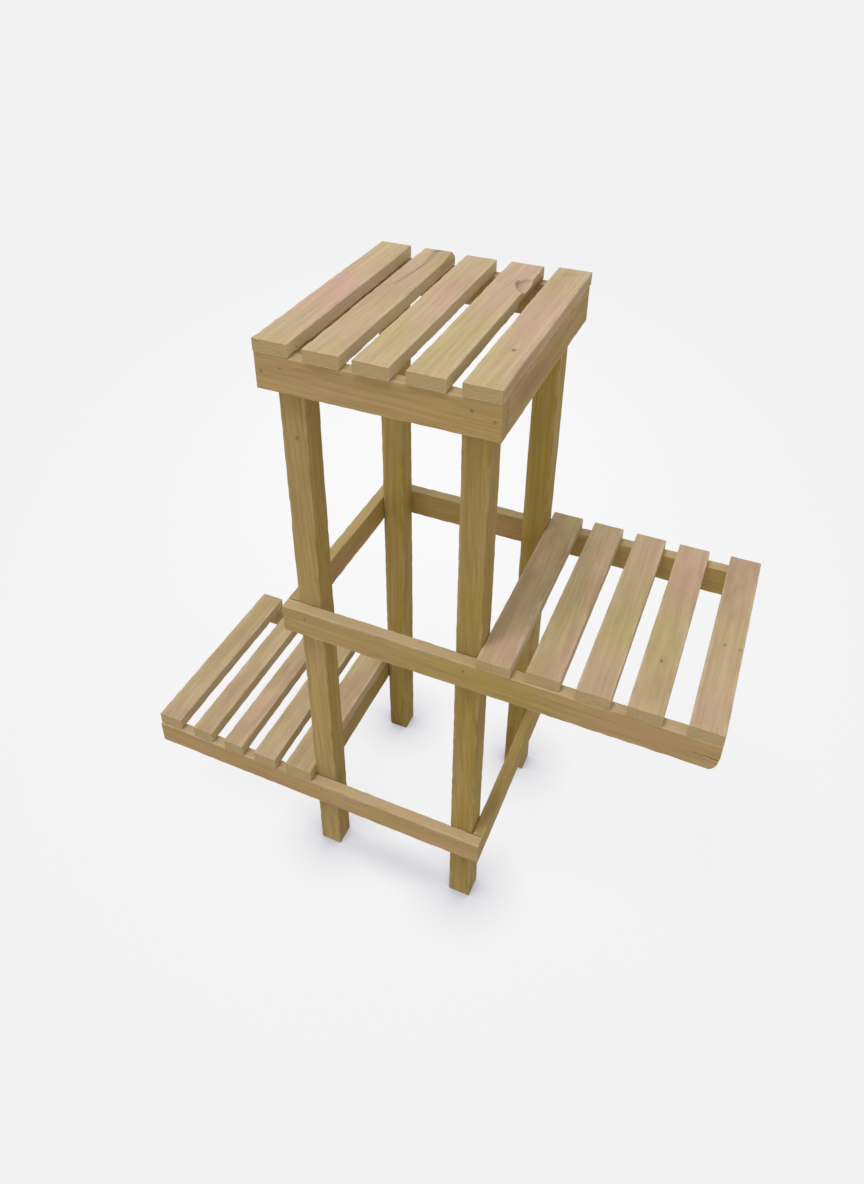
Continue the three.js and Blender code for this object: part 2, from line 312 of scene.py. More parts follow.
def makeEndGrain():
    # Sawn ends show the rings edge on, short checks that open along the rays, and saw scratches.
    # A check is narrow in the angle round the pith and long across the rings.
    group, given, result = newGroup(
        "endGrain",
        {"Grain": "vector", "Cap": "number", "Ring Count": "number"},
        {"Mask": "number", "Rings": "number", "Checks": "number", "Scratches": "number"},
    )
    xyz = put(group, "SeparateXYZ", {0: given["Grain"]}).outputs
    ray = maths(group, "ARCTAN2", xyz[1], xyz[2])
    spread = put(group, "CombineXYZ", {0: maths(group, "MULTIPLY", ray, 60.0),
                                       1: maths(group, "MULTIPLY", xyz[0], 30.0), 2: 0.0})
    split = put(group, "TexNoise", {"Vector": spread.outputs[0], "Scale": 1.0, "Detail": 2.0})
    where = smoothRange(group, speckle(group, given["Grain"], "checkPatch"), 0.5, 0.62)
    checks = smoothRange(group, split.outputs[0], 0.66, 0.72)
    checks = maths(group, "MULTIPLY", checks, where)
    rings = smoothRange(group, maths(group, "FRACT", given["Ring Count"]), 0.2, 0.95)
    scratches = speckle(group, given["Grain"], "scratches")
    mask = smoothRange(group, given["Cap"], 0.35, 0.75)
    return finishGroup(group, result, {"Mask": mask, "Rings": rings, "Checks": checks,
                                       "Scratches": scratches})


def makeEdgeWear():
    # Corners rubbed pale in some places and grimy in others
    group, given, result = newGroup(
        "edgeWear",
        {"Grain": "vector", "Edge": "number"},
        {"Pale": "number", "Grime": "number"},
    )
    rubbed = speckle(group, given["Grain"], "rubbed")
    pale = maths(group, "MULTIPLY", given["Edge"], smoothRange(group, rubbed, 0.42, 0.62))
    grime = maths(group, "MULTIPLY", given["Edge"], smoothRange(group, rubbed, 0.3, 0.46, 1.0, 0.0))
    return finishGroup(group, result, {"Pale": pale, "Grime": grime})


def makeSawMarks():
    # Faint ripples across the grain where the saw and the plane chattered, strong in patches
    group, given, result = newGroup("sawMarks", {"Grain": "vector"}, {"Height": "number"})
    ripple = speckle(group, given["Grain"], "sawRipple")
    where = smoothRange(group, speckle(group, given["Grain"], "sawPatch"), 0.4, 0.65)
    return finishGroup(group, result, {"Height": maths(group, "MULTIPLY", ripple, where)})


sharedEffects = {
    "figure": makeWoodFigure(),
    "drift": makeToneDrift(),
    "knot": makeKnotMark(),
    "endGrain": makeEndGrain(),
    "edges": makeEdgeWear(),
    "saw": makeSawMarks(),
}
print("shared wood effects ready")


slatLook = {
    "wood": tone(207, 184, 150), "pink": tone(213, 176, 158), "green": tone(194, 183, 124),
    "brown": tone(166, 140, 102), "late": tone(188, 163, 122), "pale": tone(222, 206, 174),
    "ends": tone(178, 152, 100),
    "ringWidth": 4.2 * mm, "wander": 7 * mm,
    "lateStrength": 0.22, "bandStrength": 0.26, "fibreStrength": 0.11,
}
railLook = {
    "wood": tone(190, 161, 115), "pink": tone(194, 158, 124), "green": tone(182, 158, 86),
    "brown": tone(154, 127, 84), "late": tone(170, 140, 94), "pale": tone(204, 184, 148),
    "ends": tone(164, 138, 88),
    "ringWidth": 3.4 * mm, "wander": 6 * mm,
    "lateStrength": 0.3, "bandStrength": 0.3, "fibreStrength": 0.12,
}
legLook = {
    "wood": tone(188, 161, 112), "pink": tone(190, 157, 118), "green": tone(177, 152, 76),
    "brown": tone(148, 119, 70), "late": tone(166, 138, 84), "pale": tone(204, 183, 140),
    "ends": tone(160, 134, 84),
    "ringWidth": 3.8 * mm, "wander": 7 * mm,
    "lateStrength": 0.35, "bandStrength": 0.35, "fibreStrength": 0.15,
}
scarLook = {
    "bark": tone(124, 100, 54), "bast": tone(170, 148, 84), "hollow": tone(197, 167, 146),
    "torn": tone(190, 158, 104), "knotCore": tone(112, 90, 60), "knotHalo": tone(168, 138, 94),
    "crack": tone(86, 62, 38), "grey": tone(116, 100, 88), "rust": tone(150, 100, 48),
}
# How much each layer covers of what lies under it, and how far each effect raises the surface
layerShare = {
    # The share of the pale colour on the narrow side faces is painted light
    "pores": 0.2, "paintedSideLight": 0.8, "rubbed": 0.4, "grime": 0.3, "drift": 0.3, "rings": 0.4,
    "scratches": 0.3, "checks": 0.8, "bark": 0.75, "hollow": 0.7, "torn": 0.6, "knotHalo": 0.35,
    "knotCore": 0.75, "grey": 0.8, "rust": 0.85, "crack": 0.9,
}
surfaceLook = {
    "fibre": 0.9, "late": 0.3, "pores": -0.5, "saw": 0.8, "checks": -0.8,
    "bump": 0.5, "bumpDepth": 0.25 * mm, "roughness": (0.78, 0.62), "specular": 0.32,
    "darkBand": (0.84, 0.82, 0.76, 1), "paleBand": (1.14, 1.13, 1.1, 1),
}


def woodMaterial(name, look):
    # Base colour in layers: drifting tones, rings and bands, fibres and pores, painted light that
    # makes the narrow side faces paler, knots, sawn ends, worn edges and scars. Fibres, pores and
    # saw ripples also raise the surface.
    material = bpy.data.materials.new(name)
    tree = emptyTree(material)
    read = {}
    for label in ("grain", "tint", "knot", "scar", "stainAndSideLight", "edge", "cap", "crack"):
        node = put(tree, "Attribute", {}, attribute_name=label)
        vector = label in ("grain", "tint", "knot", "scar", "stainAndSideLight")
        read[label] = node.outputs["Vector" if vector else "Fac"]
    grain = read["grain"]
    figure = useEffect(tree, "figure", {
        "Grain": grain, "Ring Width": look["ringWidth"], "Wander": look["wander"]})
    drift = useEffect(tree, "drift", {
        "Grain": grain, "Tint": read["tint"], "Wood": look["wood"], "Pink": look["pink"],
        "Green": look["green"], "Brown": look["brown"]})
    knot = useEffect(tree, "knot", {"Knot": read["knot"], "Grain": grain})
    endGrain = useEffect(tree, "endGrain", {
        "Grain": grain, "Cap": read["cap"], "Ring Count": figure["Ring Count"]})
    edges = useEffect(tree, "edges", {"Grain": grain, "Edge": read["edge"]})
    saw = useEffect(tree, "saw", {"Grain": grain})
    scar = put(tree, "SeparateXYZ", {0: read["scar"]}).outputs
    stainAndSideLight = put(tree, "SeparateXYZ", {0: read["stainAndSideLight"]}).outputs

    def covered(colour, layers):
        # Lays each layer over the colour: a mask, the share it covers and its own colour
        for mask, share, over in layers:
            mask = maths(tree, "MULTIPLY", mask, share, clamp=True)
            colour = mixed(tree, mask, colour, over)
        return colour

    share = layerShare
    colour = covered(drift["Colour"], [(figure["Late Wood"], look["lateStrength"], look["late"])])
    banded = mixed(tree, figure["Bands"], surfaceLook["darkBand"], surfaceLook["paleBand"])
    banded = mixed(tree, 1.0, colour, banded, "MULTIPLY")
    colour = mixed(tree, look["bandStrength"], colour, banded)
    fibres = smoothRange(tree, figure["Fibre"], 0.3, 0.7, 1 - look["fibreStrength"],
                         1 + look["fibreStrength"] * 0.6)
    fibreTone = put(tree, "CombineColor", {0: fibres, 1: fibres, 2: fibres}).outputs[0]
    colour = mixed(tree, 1.0, colour, fibreTone, "MULTIPLY")
    colour = covered(colour, [
        (figure["Pores"], share["pores"], look["brown"]),
        # Painted light: the narrow side faces are painted paler, standing in for the light that
        # falls between the slats
        (stainAndSideLight[2], share["paintedSideLight"], look["pale"]),
        (edges["Pale"], share["rubbed"], look["pale"]),
        (edges["Grime"], share["grime"], look["brown"]),
    ])
    sawnEnd = covered(mixed(tree, share["drift"], look["ends"], drift["Colour"]), [
        (endGrain["Rings"], share["rings"], look["brown"]),
        (endGrain["Scratches"], share["scratches"], look["pale"]),
        (endGrain["Checks"], share["checks"], scarLook["crack"]),
    ])
    colour = mixed(tree, endGrain["Mask"], colour, sawnEnd)
    bark = smoothRange(tree, figure["Fibre"], 0.35, 0.65)
    bark = mixed(tree, bark, scarLook["bark"], scarLook["bast"])
    colour = covered(colour, [(scar[0], share["bark"], bark)] + [
        (mask, share[name], scarLook[name]) for mask, name in (
            (scar[1], "hollow"), (scar[2], "torn"), (knot["Halo"], "knotHalo"),
            (knot["Core"], "knotCore"), (stainAndSideLight[0], "grey"), (stainAndSideLight[1], "rust"),
            (read["crack"], "crack"))])

    height = 0.0
    for number, name in ((figure["Fibre"], "fibre"), (figure["Late Wood"], "late"),
                         (figure["Pores"], "pores"), (saw["Height"], "saw"),
                         (endGrain["Checks"], "checks")):
        height = maths(tree, "MULTIPLY_ADD", number, surfaceLook[name], height)
    bump = put(tree, "Bump", {"Strength": surfaceLook["bump"], "Distance": surfaceLook["bumpDepth"],
                              "Height": height})
    roughness = smoothRange(tree, figure["Fibre"], 0.3, 0.7, *surfaceLook["roughness"])
    shader = put(tree, "BsdfPrincipled", {
        "Base Color": colour, "Roughness": roughness, "Normal": bump.outputs[0],
        "Specular IOR Level": surfaceLook["specular"]})
    put(tree, "OutputMaterial", {"Surface": shader.outputs[0]})
    return material


woods = {
    "slat_wood": woodMaterial("slatWood", slatLook),
    "rail_wood": woodMaterial("railWood", railLook),
    "leg_wood": woodMaterial("legWood", legLook),
}
print("woods mixed")


boardShape = {
    "step": 2.1 * mm,        # between grid lines on a plain stretch
    "fineStep": 0.55 * mm,   # beside nails and in the hollow
    "arcSteps": 4,           # over each worn corner
    "capRings": 7,
    "endEase": 0.6 * mm,     # rounding at a sawn end
    "easeTurn": (90, 60, 30),        # degrees left to turn at each ring of that rounding,
    "easeCap": (1, 0.55, 0.2),       # and how far the ring counts as sawn end
    "corner": (0.6 * mm, 2.0 * mm),  # a worn corner's radius wanders between these
    "edgeReach": 2.2 * mm,   # how far the wear of a corner's colour reaches
    "planed": 0.2 * mm,      # depth of the wander of a planed face
    "slant": 0.5 * mm,       # how far out of square an end is sawn
    "endRough": 0.12 * mm,
    "dents": 7, "dentDepth": 0.25 * mm, "dentRadius": (2 * mm, 6 * mm),
    "nicks": 3, "nickDepth": 0.8 * mm, "nickLength": (2 * mm, 6 * mm),
}
nailDent = {"flat": 1.6 * mm, "rim": 2.4 * mm, "depth": 0.5 * mm, "fineReach": 5 * mm}
logEdge = {"logRadius": 110 * mm, "rough": 0.3 * mm}
crackShape = {
    "depth": 1.8 * mm, "width": 0.35 * mm, "widens": 0.5 * mm, "wavers": 0.35 * mm,
    "waverLength": 2.6 * mm,
}
grainShape = {"slope": 0.028, "knotSpread": 0.7, "apart": 2.37}  # apart: from board to board, in m
# How near and how far the pith lies beyond a board's middle, and how far aside, in millimetres
pithFrom = {"slat_wood": (26, 70, 24), "rail_wood": (30, 90, 60), "leg_wood": (8, 60, 50)}

# What the photograph shows on single boards. Along counts from the board's left, front or lower
# end, and aside from its left, front or lower edge, in millimetres. A knot is a face, a place
# along and aside and a radius. A stain is a streak on a face between two spots, each a place
# along and aside and a reach, with its strength. A worn edge is a corner, a place along, a reach
# and how much rounder the corner is there.
boardMarks = {
    "top_slat_2": {
        "log": {"end": "high", "corner": (1, 1), "width": 5, "length": 50},
        "stains": [
            ("grey", "top", (200, 15, 1.1), (275, 23.5, 2.2), 0.75),
            ("grey", "top", (275, 23.5, 2.2), (316, 20, 6), 0.55),
            ("rust", "right", (285, 12, 6), (326, 10, 8), 0.35),
            ("grey", "top", (321, 19, 4), (329, 24, 5), 0.9),
            ("rust", "right", (322, 9, 5), (330, 6, 7), 0.6),
        ],
    },
    "leg_back_left": {
        "log": {"end": "low", "corner": (-1, -1), "width": 4.5, "length": 260},
        "stains": [
            ("rust", "front", (3, 6, 8), (3, 20, 5), 0.85),
            ("rust", "front", (34, 2, 4), (6, 8, 8), 0.6),
            ("grey", "front", (62, 3, 0.9), (4, 24, 1.1), 0.7),
            ("rust", "front", (742, 32, 4), (790, 33, 5), 0.3),
            ("rust", "right", (560, 3, 5), (610, 4, 6), 0.25),
        ],
    },
    "top_slat_4": {
        "hollow": {"fromEnd": 67, "radii": (14, 7, 21)},
        "stains": [
            ("grey", "top", (271, 29, 2.2), (262, 30, 2.6), 0.9),
            ("grey", "top", (262, 30, 2.6), (241, 42, 1.5), 0.85),
            ("rust", "right", (232, 1, 6), (326, 2, 5), 0.8),
        ],
    },
    "right_shelf_rail_front": {
        "broken": {"length": 15, "height": 21},
        "crack": {"face": "front", "aside": 20, "length": 34, "rise": -1.2},
    },
    "leg_front_left": {"knots": [("front", 783, 20, 2.4)]},
    "left_shelf_rail_front": {"knots": [("front", 378, 34.5, 1.3)]},
    "leg_back_right": {"stains": [("rust", "front", (28, 4, 8), (92, 7, 9), 0.8)]},
    "right_shelf_slat_1": {"worn": [(1, 66, 34, 3.5), (1, 112, 24, 4.5)]},
    "top_slat_5": {
        "knots": [("top", 88.5, 24, 2.4)],
        "stains": [("grey", "top", (312, 14, 5), (318, 24, 5), 0.25)],
    },
    "right_shelf_slat_4": {"knots": [("top", 87, 22, 1.9)]},
    "right_shelf_slat_5": {"knots": [("top", 145, 18, 1.5), ("top", 144, 37, 1.3)]},
}

# How pink, green and brown a whole board is. On the right and left shelf slats the brown is painted
# shade, which darkens the lower shelves below the top. The longest start of its name counts.
baseTintsAndShelfShade = {
    # The brown of the right and left shelf slats is painted shade
    "top_slat": (0.2, 0.05, 0.0), "right_shelf_slat": (0.15, 0.1, 0.34),
    "left_shelf_slat": (0.12, 0.05, 0.45), "top_slat_1": (0.35, 0.05, 0.0),
    "top_rail": (0.1, 0.1, 0.0), "top_side": (0.0, 0.25, 0.1),
    "right_shelf_rail": (0.1, 0.15, 0.05),
    "right_shelf_rail_back": (0.0, 0.9, 0.0), "left_shelf_rail": (0.2, 0.0, 0.0),
    "right_shelf_cross": (0.0, 0.9, 0.1), "left_shelf_cross": (0.0, 0.8, 0.2),
    "leg_front_left": (0.15, 0.1, 0.0), "leg_front_right": (0.0, 0.6, 0.3),
    "leg_back": (0.0, 0.9, 0.0), "leg_back_left": (0.0, 0.65, 0.0),
}

# How much paler the narrow sawn sides of a board are painted beside its faces, by the start of its
# name: painted light that stands in for the light between the slats and on the tops of the rails
paintedSideLightByBoard = {
    "": 0.0, "top_slat": 0.7, "top_slat_5": 0.0, "left_shelf_slat": 0.6, "right_shelf_slat": 0.5,
    "left_shelf_rail": 0.65, "right_shelf_rail": 0.65, "right_shelf_cross": 0.3, "top_rail": 0.6,
}

# Patches that the photograph shows: colour, place along the board from 0 to 1, place across it
# from -1 to 1, reach along and across in millimetres, and strength
boardPatches = {
    "top_slat_1": [("pink", 0.45, 0, 70, 60, 0.9), ("green", 0.03, 0, 35, 60, 0.8),
                   ("green", 0.8, 0.8, 80, 14, 0.6)],
    "top_slat_2": [("green", 0.1, 0, 55, 60, 0.9), ("pink", 0.62, -0.4, 60, 20, 0.7),
                   ("green", 0.88, 0.65, 50, 11, 1.1)],
    "top_slat_3": [("green", 0.16, 0, 45, 40, 0.9), ("pink", 0.6, 0.5, 60, 22, 0.9),
                   ("green", 0.9, 1.1, 30, 5, 1.0)],
    "top_slat_4": [("green", 0.16, -0.4, 55, 26, 0.8), ("pink", 0.93, 0, 55, 40, 0.9),
                   ("green", 0.86, 1.1, 50, 5, 1.3), ("pink", 0.5, -0.2, 40, 16, 0.5)],
    "top_slat_5": [("green", 0.35, -0.7, 80, 18, 0.9), ("green", 0.88, -0.4, 30, 20, 0.8),
                   ("pink", 0.5, 0.8, 110, 18, 0.7), ("green", 0.04, -0.2, 20, 30, 0.6),
                   ("brown", 0.5, 1.15, 300, 4, 1.0)],
    "right_shelf_slat_1": [("brown", 0.62, 0, 110, 60, 0.36), ("pink", 0.1, 0.3, 40, 30, 0.9),
                           ("green", 0.93, 0.3, 50, 22, 0.8)],
    "right_shelf_slat_2": [("pink", 0.15, 0.9, 60, 14, 0.8), ("green", 0.4, -0.4, 110, 22, 0.8),
                           ("pink", 0.85, 0.6, 50, 16, 0.5)],
    "right_shelf_slat_3": [("green", 0.45, 0.3, 60, 24, 0.9), ("pink", 0.12, 0, 40, 24, 0.6),
                           ("pink", 0.85, 0.2, 40, 20, 0.6)],
    "right_shelf_slat_4": [("green", 0.35, -0.4, 60, 24, 0.9), ("pink", 0.85, 0.2, 50, 30, 1.0)],
    "right_shelf_slat_5": [("pink", 0.9, 0, 60, 40, 0.9), ("pink", 0.1, 0.2, 40, 24, 0.7),
                           ("green", 0.5, 0.2, 50, 20, 0.4)],
    "left_shelf_slat_1": [("green", 0.12, 0, 40, 30, 0.7), ("pink", 0.5, 0, 60, 30, 0.5)],
    "left_shelf_slat_3": [("pink", 0.25, 0, 50, 30, 0.6)],
    "left_shelf_slat_5": [("green", 0.75, 0, 80, 30, 0.8)],
    "top_rail_front": [("pink", 0.25, 0.2, 60, 20, 0.6), ("green", 0.9, -0.4, 60, 20, 0.8)],
    "right_shelf_rail_front": [("green", 0.5, 0, 80, 30, 0.9), ("pink", 0.86, -0.2, 70, 30, 0.6)],
    "right_shelf_rail_back": [("pink", 0.12, 0, 30, 30, 0.4), ("pink", 0.75, 0, 120, 30, 0.3)],
    "leg_front_left": [("green", 0.5, 1.1, 500, 5, 0.9), ("pink", 0.6, -0.5, 120, 12, 0.4)],
    "leg_back_left": [("green", 0.5, 1.1, 500, 5, 0.6), ("pink", 0.35, -0.4, 60, 10, 0.4)],
    "leg_front_right": [("green", 0.45, 0, 120, 20, 0.4), ("brown", 0.1, 0, 60, 20, 0.4)],
}


def byName(table, name):
    # The entry of a table whose key is the longest start of the name
    return table[max((key for key in table if name.startswith(key)), key=len)]


def boardAxes(lo, hi):
    # The grain runs along the longest side, and the wider of the other two is the board's width
    size = hi - lo
    grain = int(np.argmax(size))
    others = [axis for axis in range(3) if axis != grain]
    across, thick = sorted(others, key=lambda axis: -size[axis])
    frameOf = np.zeros((3, 3))
    frameOf[0, across] = frameOf[1, thick] = frameOf[2, grain] = 1
    return across, thick, grain, np.linalg.det(frameOf)


def toBoard(point, lo, hi, axes):
    # A point in the stand's frame as width and thickness from the board's middle, and length
    # from its low end
    across, thick, grain = axes
    middle = (lo + hi) / 2
    return np.array([point[across] - middle[across], point[thick] - middle[thick],
                     point[grain] - lo[grain]])


def faceSpot(face, along, aside, lo, hi, axes):
    # The board's point on a named face, along the grain and aside from the lower edge
    grain = axes[2]
    axis, way = faceSides[face]
    other = 3 - axis - grain
    point = np.zeros(3)
    point[axis] = hi[axis] if way > 0 else lo[axis]
    point[grain] = lo[grain] + along * mm
    point[other] = lo[other] + aside * mm
    return toBoard(point, lo, hi, axes)


def sectionOutline(half, fineWidth, fineThick, step):
    # Once round a rounded rectangle from the low right corner, anticlockwise. A point is
    # sign * (half size - radius) + normal * radius: on a corner the signs hold still and the
    # normal turns, and on a flat side the normal holds still and one sign runs from end to end.
    shape = boardShape
    halves = (half[1], half[0], half[1], half[0])
    fine = (fineThick, fineWidth, fineThick, fineWidth)
    turn = np.linspace(0, np.pi / 2, shape["arcSteps"] + 1)
    corners = np.array([(1, -1), (1, 1), (-1, 1), (-1, -1)])
    signs, normals, weights, edges = [], [], [], []
    for side in range(4):
        start, end = corners[side], corners[(side + 1) % 4]
        length = 2 * halves[side]
        forward = side < 2
        spots = [(x if forward else length - x, reach) for x, reach in fine[side]]
        t = spaced(length, step, spots, shape["fineStep"])[1:-1] / length
        weight = np.zeros((len(t), 4))
        weight[:, side] = 1 - t
        weight[:, (side + 1) % 4] = t
        signs.append(start + (end - start) * t[:, None])
        normals.append(np.tile([math.cos(side * np.pi / 2), math.sin(side * np.pi / 2)],
                               (len(t), 1)))
        weights.append(weight)
        edges.append(np.exp(-((np.minimum(t, 1 - t) * length / shape["edgeReach"]) ** 2)))
        angle = side * np.pi / 2 + turn
        signs.append(np.tile(end, (len(turn), 1)).astype(float))
        normals.append(np.stack([np.cos(angle), np.sin(angle)], -1))
        weights.append(np.tile(np.eye(4)[(side + 1) % 4], (len(turn), 1)))
        edges.append(np.ones(len(turn)))
    return [np.concatenate(x) for x in (signs, normals, weights, edges)]


def stationRows(length, fineSpots, step):
    # Rings from one sawn end to the other: rings that grow over the end's face, rings that turn
    # round its eased rim, and rings along the board. Gives each ring's place along the board,
    # its inset from the sides, its share of the section and how far it lies on an end.
    shape = boardShape
    ease = shape["endEase"]
    plain = spaced(length - 2 * ease, step, [(x - ease, r) for x, r in fineSpots],
                   shape["fineStep"]) + ease
    turn = np.radians(shape["easeTurn"])
    capShare = np.linspace(0, 1, shape["capRings"] + 1)[1:-1]
    still = np.zeros(len(capShare))
    lowAt = np.concatenate([still, ease * (1 - np.sin(turn))])
    lowInset = np.concatenate([still + ease, ease * (1 - np.cos(turn))])
    lowShare = np.concatenate([capShare, np.ones(len(turn))])
    lowCap = np.concatenate([still + 1, shape["easeCap"]])
    middle = np.zeros(len(plain))
    at = np.concatenate([lowAt, plain, length - lowAt[::-1]])
    inset = np.concatenate([lowInset, middle, lowInset[::-1]])
    share = np.concatenate([lowShare, middle + 1, lowShare[::-1]])
    cap = np.concatenate([-lowCap, middle, lowCap[::-1]])
    return at, inset, share, cap


def wornRadii(rng, at, length, worn):
    # Each of the four corners has a radius that wanders along the board, with a few nicks and
    # the worn places that the photograph shows
    shape = boardShape
    low, high = shape["corner"]
    steady = waves(rng, at, np.arange(4) / 4, 18 * mm, 240 * mm, 3)
    radii = low + (high - low) * smoothstep(steady, -1.6, 1.9)
    for _ in range(shape["nicks"]):
        corner = rng.integers(4)
        reach = rng.uniform(*shape["nickLength"])
        depth = shape["nickDepth"] * rng.uniform(0.3, 1)
        radii[:, corner] += depth * np.exp(-(((at - rng.uniform(0, length)) / reach) ** 2))
    for corner, along, reach, depth in worn:
        radii[:, corner] += depth * mm * np.exp(-(((at / mm - along) / reach) ** 2))
    return radii


def trimToLog(points, mark, half, length, rng):
    # A board sawn at the outside of its log: points beyond the log's tapering round surface are
    # drawn in to it, towards the log's middle. Gives the mask of bare log surface.
    depth = mark["width"] * mm * math.sqrt(0.5)
    corner = np.array(mark["corner"])
    centre = corner * (half - (logEdge["logRadius"] + depth) * math.sqrt(0.5))
    fromEnd = length - points[..., 2] if mark["end"] == "high" else points[..., 2]
    limit = logEdge["logRadius"] + depth * fromEnd / (mark["length"] * mm)
    away = points[..., :2] - centre
    radius = np.linalg.norm(away, axis=-1)
    bare = smoothstep(radius - limit, 0, 0.6 * mm)
    angle = np.arctan2(away[..., 1], away[..., 0])
    wrinkle = np.sin(angle * 260 + 3 * np.sin(points[..., 2] / (14 * mm))) * 0.5 + 0.5
    limit = limit - bare * logEdge["rough"] * (wrinkle * 0.6 + 0.4 * rng.random())
    points[..., :2] = centre + away * np.minimum(1, limit / radius)[..., None]
    return bare


def sinkHollow(points, mark, half, length):
    # A lost knot: points inside its ellipsoid go down the diagonal of the board's corner until
    # they reach the ellipsoid, which is the positive root of a quadratic
    radii = np.array(mark["radii"]) * mm
    centre = np.array([half[0], half[1], length - mark["fromEnd"] * mm])
    way = np.array([-1, -1, 0]) * math.sqrt(0.5)
    place = (points - centre) / radii
    step = way / radii
    a = (step ** 2).sum()
    b = 2 * (place * step).sum(-1)
    c = (place ** 2).sum(-1) - 1
    inside = c < 0
    travel = np.where(inside, (-b + np.sqrt(np.maximum(b * b - 4 * a * c, 0))) / (2 * a), 0)
    points += travel[..., None] * way
    return smoothstep(travel, 0.2 * mm, 2.2 * mm)


def breakCorner(points, mark, half, length):
    # The far lower corner split off: points outside a quarter ellipse are drawn in to it
    reach = np.array([mark["length"] * mm - 0.8 * mm, mark["height"] * mm + 1.5 * mm])
    centre = np.array([length - mark["length"] * mm, -half[0] + mark["height"] * mm])
    away = np.stack([points[..., 2] - centre[0], centre[1] - points[..., 0]], -1)
    share = np.linalg.norm(np.maximum(away, 0) / reach, axis=-1)
    torn = smoothstep(share, 1.0, 1.06) * (away > 0).all(-1)
    ragged = 1 - 0.04 * (0.5 + 0.5 * np.sin(points[..., 1] / (1.3 * mm) + 5 * away[..., 1] / mm))
    scale = np.where((away > 0).all(-1) & (share > ragged), ragged / np.maximum(share, 1e-9), 1)
    points[..., 2] = centre[0] + away[..., 0] * scale
    points[..., 0] = centre[1] - away[..., 1] * scale
    return torn


def openCrack(points, normals, mark, half, length):
    # How deep each point lies in a crack, from 0 to 1: a wavering line that runs out to the
    # board's far end, widens on its way and shows on one face
    onFace = normals[:, 1] * faceSides[mark["face"]][1] > 0.9
    run = (points[..., 2] - (length - mark["length"] * mm)) / (mark["length"] * mm)
    out = np.clip(run, 0, 1)
    line = -half[0] + mark["aside"] * mm + mark["rise"] * mm * out
    line += crackShape["wavers"] * np.sin(points[..., 2] / crackShape["waverLength"])
    gap = np.abs(points[..., 0] - line) / (crackShape["width"] + crackShape["widens"] * out)
    return (1 - smoothstep(gap, 0.4, 1.3)) * smoothstep(run, 0, 0.3) * onFace


def grainPlace(points, rng, slot, knots, index):
    # Where each point lies in its log: along the grain, and across from a pith beside the board.
    # The grain runs slightly out of line with the board, and spreads apart round each knot.
    near, far, aside = pithFrom[slot]
    place = points[..., [2, 0, 1]].copy()
    for centre, radius in knots:
        offset = place - centre[[2, 0, 1]]
        pull = np.exp(-((offset[..., 0] / (5 * radius)) ** 2)
                      - (np.linalg.norm(offset[..., 1:], axis=-1) / (2.6 * radius)) ** 2)
        place[..., 1:] -= grainShape["knotSpread"] * pull[..., None] * offset[..., 1:]
    slope = rng.uniform(-1, 1, 2) * grainShape["slope"]
    place[..., 1] += slope[0] * place[..., 0] + rng.uniform(-aside, aside) * mm
    place[..., 2] += slope[1] * place[..., 0] + rng.choice([-1, 1]) * rng.uniform(near, far) * mm
    place[..., 0] += grainShape["apart"] * (index + 1)
    return place


def knotPlace(points, knots):
    # The vector from the nearest knot in knot radii, and a far one where no knot is near
    place = np.full(points.shape, 9.0)
    for centre, radius in knots:
        offset = (points - centre) / np.array([radius, radius, 1.5 * radius])
        near = np.linalg.norm(offset, axis=-1) < 4
        place[near] = offset[near]
    return place


def boardTint(points, name, length, half, patches):
    # How pink, green and brown each point is: the board's own tint, whose brown is painted shade on
    # the shelf slats, and soft patches stretched along the grain
    tint = np.tile(np.array(byName(baseTintsAndShelfShade, name), float), (*points.shape[:2], 1))
    for colour, at, aside, reach, width, strength in patches:
        along = (points[..., 2] - at * length) / (reach * mm)
        across = (points[..., 0] - aside * half[0]) / (width * mm)
        tint[..., "pink green brown".split().index(colour)] += strength * np.exp(
            -along ** 2 - across ** 2)
    return tint


def randomPatches(rng, strength):
    # Six soft patches of a random colour and place
    return [
        (rng.choice(["pink", "green", "brown"], p=[0.36, 0.5, 0.14]),
         rng.uniform(0, 1), rng.uniform(-1, 1), rng.uniform(25, 90), rng.uniform(12, 40),
         strength * rng.uniform(0.3, 1))
        for _ in range(6)
    ]


def boardStains(points, stains, lo, hi, axes):
    # How grey and how rusty each point is, and a last place kept for the painted light on the
    # narrow side faces. The strength of a stain falls with the distance from the line between its
    # two spots, over a reach that goes from the one's to the other's.
    stainAndSideLight = np.zeros(points.shape)
    for kind, face, start, end, strength in stains:
        first = faceSpot(face, *start[:2], lo, hi, axes)
        line = faceSpot(face, *end[:2], lo, hi, axes) - first
        share = np.clip((points - first) @ line / (line @ line), 0, 1)
        distance = np.linalg.norm(points - first - share[..., None] * line, axis=-1)
        reach = (start[2] + (end[2] - start[2]) * share) * mm
        column = stainAndSideLight[..., ("grey", "rust").index(kind)]
        np.maximum(column, strength * np.exp(-((distance / reach) ** 2)), out=column)
    return stainAndSideLight


def nailHeads():
    # The middle of each nail's head and the way it faces: the end of the nail that is further
    # from the middle of the legs
    legs = np.array([boxOf(f"leg_{depth}_{side}") for depth in ("front", "back")
                     for side in ("left", "right")])
    middle = (legs[:, 0].min(0) + legs[:, 1].max(0)) / 2
    heads = []
    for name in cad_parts:
        if name.startswith("nail_"):
            lo, hi = boxOf(name)
            axis = int(np.argmax(hi - lo))
            head = (lo + hi) / 2
            head[axis] = hi[axis] if head[axis] > middle[axis] else lo[axis]
            heads.append((head, axis))
    return heads


def slotOf(name):
    # The wood that a board is made of
    if name.startswith("leg_"):
        return "leg_wood"
    return "slat_wood" if "_slat_" in name else "rail_wood"


